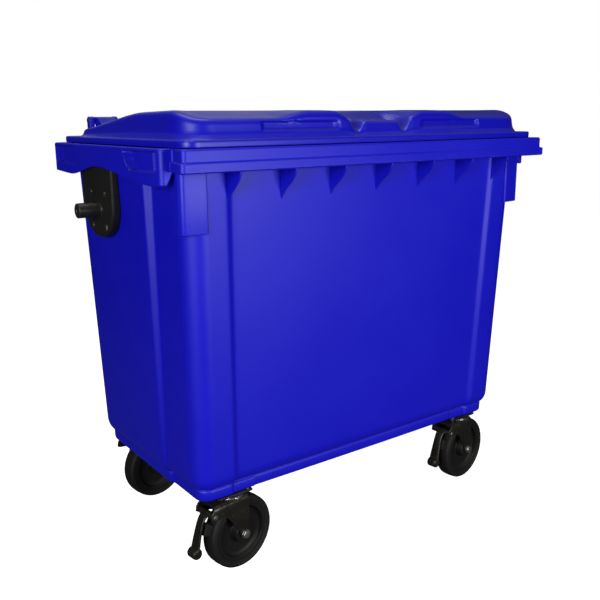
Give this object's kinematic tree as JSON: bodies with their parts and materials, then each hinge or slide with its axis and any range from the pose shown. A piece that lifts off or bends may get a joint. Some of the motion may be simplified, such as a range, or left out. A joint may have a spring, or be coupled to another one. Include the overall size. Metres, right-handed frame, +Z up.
{
  "type": "wheelie bin",
  "caption": "Large four-wheeled refuse container with a flat hinged lid, comb-lift rim, side trunnions and swivel castors with brake pedals.",
  "frame": {"origin": "on the floor below the middle of the bin", "axes": "+X along the long front, the front faces -Y, +Z up"},
  "size_m": [1.37, 0.784, 1.221],
  "materials": {
    "tub_plastic": "moulded polyethylene, fine grain",
    "lid_plastic": "moulded polyethylene, satin",
    "black_plastic": "moulded, fine grain",
    "wheel_plastic": "moulded, satin",
    "seal_rubber": "matt",
    "tyre_rubber": "matt, lightly scuffed",
    "fork_steel": "dark passivated steel, dull",
    "black_steel": "black, worn at the end",
    "bright_steel": "zinc plated"
  },
  "bodies": {
    "body": {"drain_seal": "seal_rubber", "front_left_ball_race": "bright_steel", "front_left_kingpin": "bright_steel", "front_left_plate_bolts": "bright_steel", "front_left_top_plate": "fork_steel", "front_right_ball_race": "bright_steel", "front_right_kingpin": "bright_steel", "front_right_plate_bolts": "bright_steel", "front_right_top_plate": "fork_steel", "hinge_pin_left": "black_plastic", "hinge_pin_right": "black_plastic", "rear_left_ball_race": "bright_steel", "rear_left_kingpin": "bright_steel", "rear_left_plate_bolts": "bright_steel", "rear_left_top_plate": "fork_steel", "rear_right_ball_race": "bright_steel", "rear_right_kingpin": "bright_steel", "rear_right_plate_bolts": "bright_steel", "rear_right_top_plate": "fork_steel", "trunnion_backing_left": "bright_steel", "trunnion_backing_right": "bright_steel", "trunnion_bolts_left": "bright_steel", "trunnion_bolts_right": "bright_steel", "trunnion_pin_left": "black_steel", "trunnion_pin_right": "black_steel", "trunnion_plate_left": "black_plastic", "trunnion_plate_right": "black_plastic", "tub": "tub_plastic"},
    "lid": {"lid": "lid_plastic"},
    "plug": {"drain_plug": "black_plastic"},
    "fork_front_left": {"front_left_fork": "fork_steel", "front_left_axle": "bright_steel", "front_left_brake_pin": "bright_steel"},
    "wheel_front_left": {"front_left_wheel_hub": "wheel_plastic", "front_left_tyre": "tyre_rubber", "front_left_wheel_bush": "bright_steel"},
    "pedal_front_left": {"front_left_brake_pedal": "fork_steel", "front_left_brake_shoe": "seal_rubber"},
    "fork_front_right": {"front_right_fork": "fork_steel", "front_right_axle": "bright_steel", "front_right_brake_pin": "bright_steel"},
    "wheel_front_right": {"front_right_wheel_hub": "wheel_plastic", "front_right_tyre": "tyre_rubber", "front_right_wheel_bush": "bright_steel"},
    "pedal_front_right": {"front_right_brake_pedal": "fork_steel", "front_right_brake_shoe": "seal_rubber"},
    "fork_rear_left": {"rear_left_fork": "fork_steel", "rear_left_axle": "bright_steel"},
    "wheel_rear_left": {"rear_left_wheel_hub": "wheel_plastic", "rear_left_tyre": "tyre_rubber", "rear_left_wheel_bush": "bright_steel"},
    "fork_rear_right": {"rear_right_fork": "fork_steel", "rear_right_axle": "bright_steel"},
    "wheel_rear_right": {"rear_right_wheel_hub": "wheel_plastic", "rear_right_tyre": "tyre_rubber", "rear_right_wheel_bush": "bright_steel"}
  },
  "joints": [
    {"name": "lid_hinge", "type": "hinge", "parent": "body", "child": "lid", "pos_m": [0, 0.378, 1.199], "axis": [-1, 0, 0], "range_deg": [0, 250]},
    {"name": "drain_turn", "type": "hinge", "parent": "body", "child": "plug", "pos_m": [0, 0.21, 0.2255], "axis": [0, 0, 1], "range_deg": [0, 90]},
    {"name": "swivel_front_left", "type": "hinge", "parent": "body", "child": "fork_front_left", "pos_m": [-0.445, -0.246, 0.213], "axis": [0, 0, 1], "continuous": true},
    {"name": "roll_front_left", "type": "hinge", "parent": "fork_front_left", "child": "wheel_front_left", "pos_m": [-0.42519, -0.24322, 0.104], "axis": [-0.1392, 0.9903, 0], "continuous": true},
    {"name": "pedal_front_left", "type": "hinge", "parent": "fork_front_left", "child": "pedal_front_left", "pos_m": [-0.52422, -0.25713, 0.1907], "axis": [-0.1392, 0.9903, 0], "range_deg": [0, 25]},
    {"name": "swivel_front_right", "type": "hinge", "parent": "body", "child": "fork_front_right", "pos_m": [0.445, -0.246, 0.213], "axis": [0, 0, 1], "continuous": true},
    {"name": "roll_front_right", "type": "hinge", "parent": "fork_front_right", "child": "wheel_front_right", "pos_m": [0.46481, -0.24322, 0.104], "axis": [-0.1392, 0.9903, 0], "continuous": true},
    {"name": "pedal_front_right", "type": "hinge", "parent": "fork_front_right", "child": "pedal_front_right", "pos_m": [0.36578, -0.25713, 0.1907], "axis": [-0.1392, 0.9903, 0], "range_deg": [0, 25]},
    {"name": "swivel_rear_left", "type": "hinge", "parent": "body", "child": "fork_rear_left", "pos_m": [-0.445, 0.266, 0.213], "axis": [0, 0, 1], "continuous": true},
    {"name": "roll_rear_left", "type": "hinge", "parent": "fork_rear_left", "child": "wheel_rear_left", "pos_m": [-0.42519, 0.26878, 0.104], "axis": [-0.1392, 0.9903, 0], "continuous": true},
    {"name": "swivel_rear_right", "type": "hinge", "parent": "body", "child": "fork_rear_right", "pos_m": [0.445, 0.266, 0.213], "axis": [0, 0, 1], "continuous": true},
    {"name": "roll_rear_right", "type": "hinge", "parent": "fork_rear_right", "child": "wheel_rear_right", "pos_m": [0.46481, 0.26878, 0.104], "axis": [-0.1392, 0.9903, 0], "continuous": true}
  ]
}
